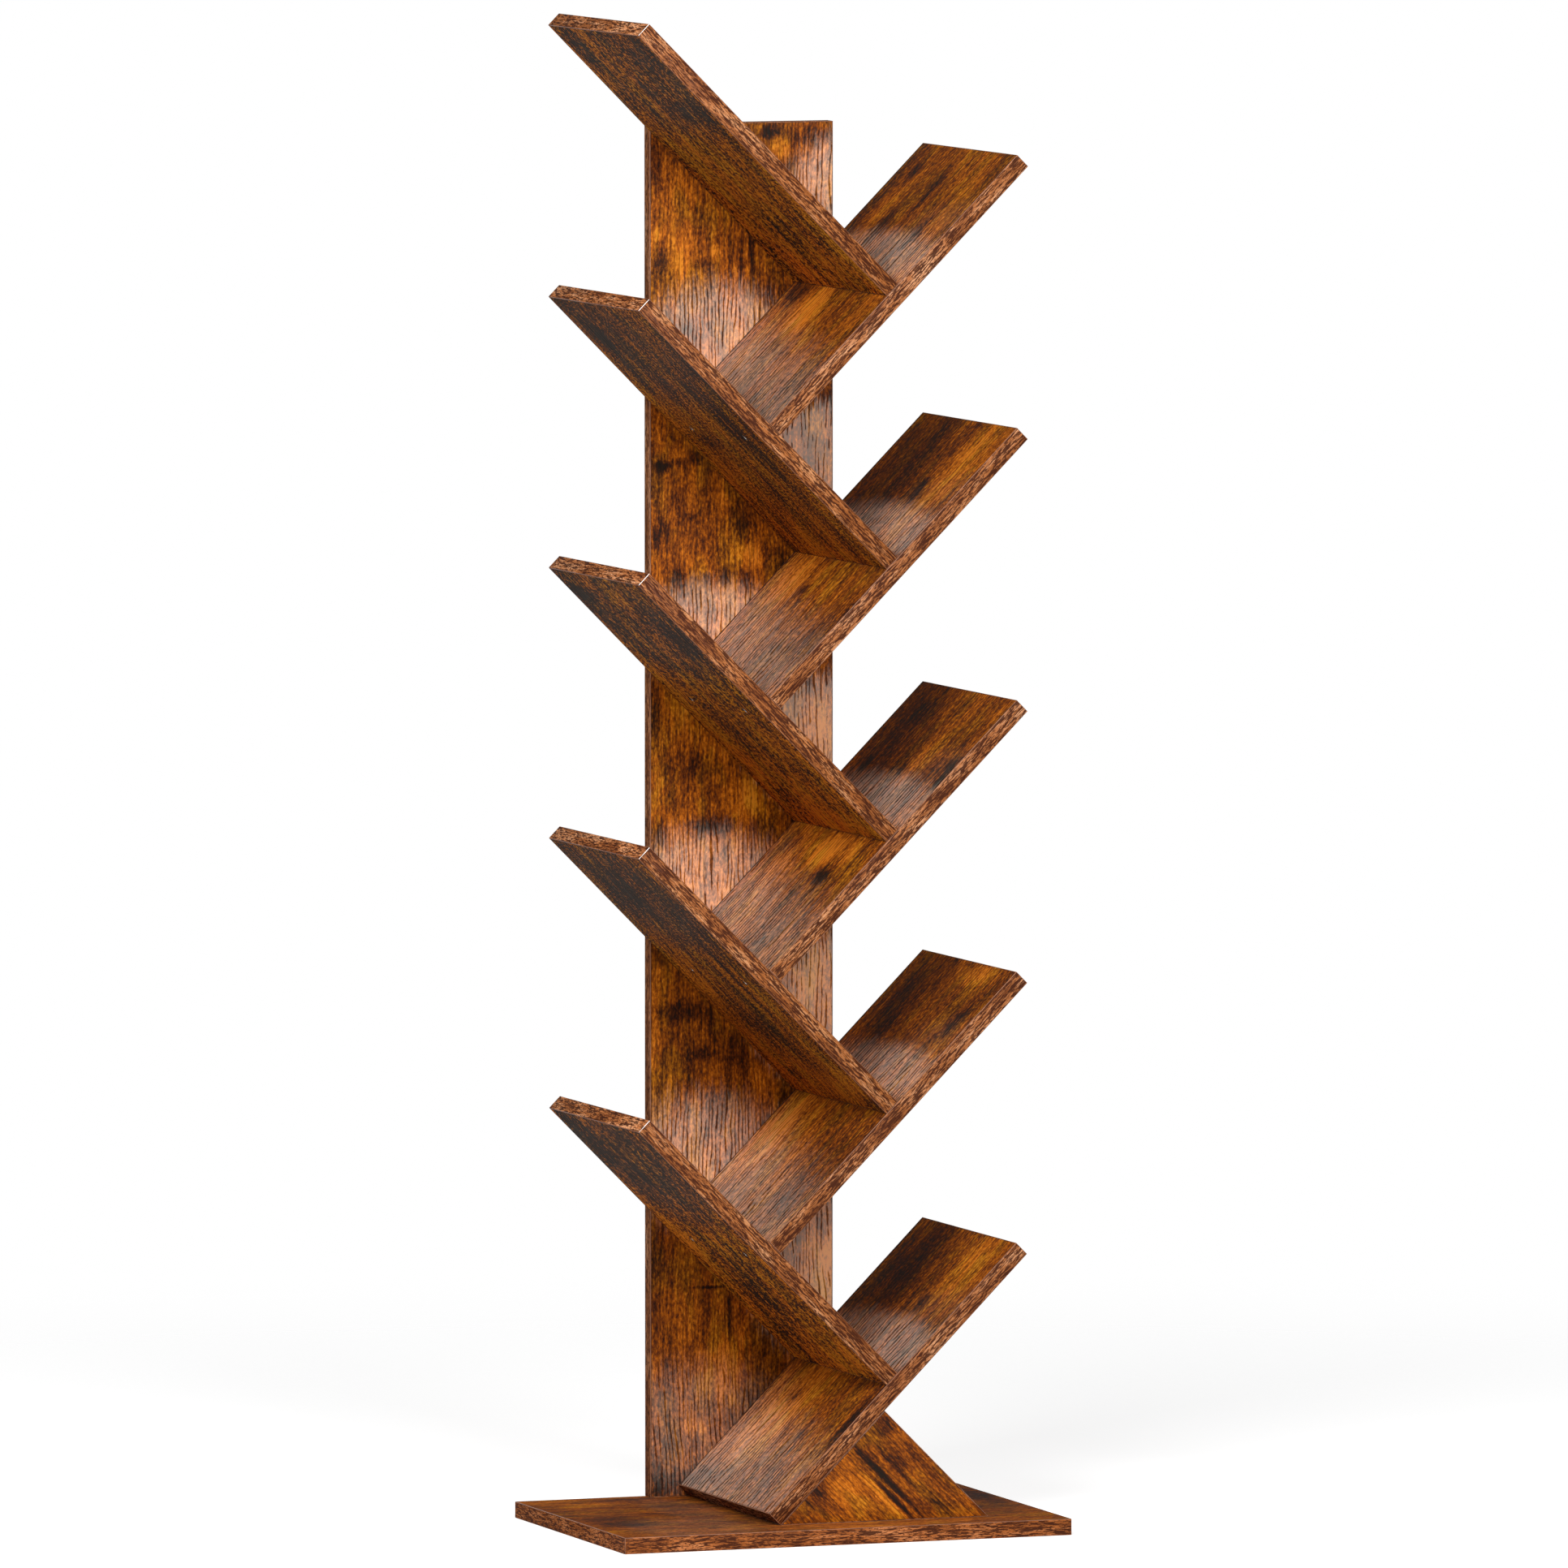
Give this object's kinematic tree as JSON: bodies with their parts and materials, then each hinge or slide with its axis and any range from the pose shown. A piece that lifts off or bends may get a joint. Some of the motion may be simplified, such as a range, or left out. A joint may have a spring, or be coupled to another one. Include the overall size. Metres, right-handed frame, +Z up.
{
  "type": "tree-shaped bookshelf",
  "caption": "Free-standing bookshelf shaped like a tree: slanted shelves butt square on each other in a herringbone, screwed to an upright back panel on a base board.",
  "frame": {"origin": "on the floor, under the middle of the base board", "axes": "+Z up, -Y out of the front (the open side of the nooks), +X to the right as seen from the front"},
  "size_m": [0.46, 0.32, 1.4698],
  "materials": {
    "shelf_laminate": "rustic brown wood-print laminate, satin, grain along the board",
    "panel_laminate": "rustic brown wood-print laminate, satin, upright grain",
    "base_laminate": "rustic brown wood-print laminate, satin, grain across the front",
    "screw_steel": "dark bronze-plated countersunk screw with a hexagon socket"
  },
  "bodies": {
    "root": {"base_board": "base_laminate", "back_panel": "panel_laminate", "front_gusset": "shelf_laminate", "right_shelf_1": "shelf_laminate", "left_shelf_1": "shelf_laminate", "right_shelf_2": "shelf_laminate", "left_shelf_2": "shelf_laminate", "right_shelf_3": "shelf_laminate", "left_shelf_3": "shelf_laminate", "right_shelf_4": "shelf_laminate", "left_shelf_4": "shelf_laminate", "right_shelf_5": "shelf_laminate", "left_shelf_5": "shelf_laminate", "right_shelf_1_rear_screw_1": "screw_steel", "right_shelf_1_rear_screw_2": "screw_steel", "left_shelf_1_rear_screw_1": "screw_steel", "left_shelf_1_rear_screw_2": "screw_steel", "right_shelf_2_rear_screw_1": "screw_steel", "right_shelf_2_rear_screw_2": "screw_steel", "left_shelf_2_rear_screw_1": "screw_steel", "left_shelf_2_rear_screw_2": "screw_steel", "right_shelf_3_rear_screw_1": "screw_steel", "right_shelf_3_rear_screw_2": "screw_steel", "left_shelf_3_rear_screw_1": "screw_steel", "left_shelf_3_rear_screw_2": "screw_steel", "right_shelf_4_rear_screw_1": "screw_steel", "right_shelf_4_rear_screw_2": "screw_steel", "left_shelf_4_rear_screw_1": "screw_steel", "left_shelf_4_rear_screw_2": "screw_steel", "right_shelf_5_rear_screw_1": "screw_steel", "right_shelf_5_rear_screw_2": "screw_steel", "left_shelf_5_rear_screw_1": "screw_steel", "left_shelf_5_rear_screw_2": "screw_steel", "left_shelf_1_seat_screw_1": "screw_steel", "left_shelf_1_seat_screw_2": "screw_steel", "right_shelf_2_seat_screw_1": "screw_steel", "right_shelf_2_seat_screw_2": "screw_steel", "left_shelf_2_seat_screw_1": "screw_steel", "left_shelf_2_seat_screw_2": "screw_steel", "right_shelf_3_seat_screw_1": "screw_steel", "right_shelf_3_seat_screw_2": "screw_steel", "left_shelf_3_seat_screw_1": "screw_steel", "left_shelf_3_seat_screw_2": "screw_steel", "right_shelf_4_seat_screw_1": "screw_steel", "right_shelf_4_seat_screw_2": "screw_steel", "left_shelf_4_seat_screw_1": "screw_steel", "left_shelf_4_seat_screw_2": "screw_steel", "right_shelf_5_seat_screw_1": "screw_steel", "right_shelf_5_seat_screw_2": "screw_steel", "left_shelf_5_seat_screw_1": "screw_steel", "left_shelf_5_seat_screw_2": "screw_steel", "panel_foot_screw_1": "screw_steel", "panel_foot_screw_2": "screw_steel", "gusset_foot_screw_1": "screw_steel", "gusset_foot_screw_2": "screw_steel"}
  },
  "joints": []
}
